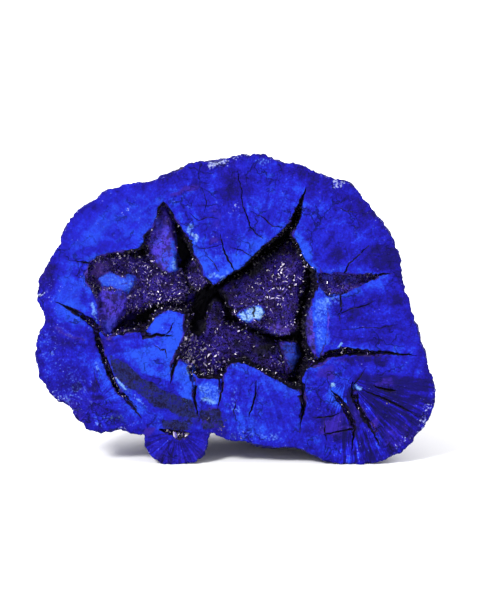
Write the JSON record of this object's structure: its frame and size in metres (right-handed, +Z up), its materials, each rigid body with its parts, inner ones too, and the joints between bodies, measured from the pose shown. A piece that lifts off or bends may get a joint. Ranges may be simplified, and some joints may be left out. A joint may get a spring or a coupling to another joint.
{
  "type": "azurite nodule half",
  "caption": "Half of a split blue mineral nodule, its broken face showing crystal-lined star-shaped gaps, resting on its lower edge.",
  "frame": {"origin": "on the surface that the stone rests on, under the middle of its bounding box", "axes": "+Z up, -Y out of the broken face, +X to the right as the broken face is looked at"},
  "size_m": [0.06, 0.0262, 0.0464],
  "materials": {
    "azurite": "rough granular azurite, deep blue on the broken face and blue-violet in the gaps"
  },
  "bodies": {
    "root": {"azurite_nodule": "azurite"}
  },
  "joints": []
}
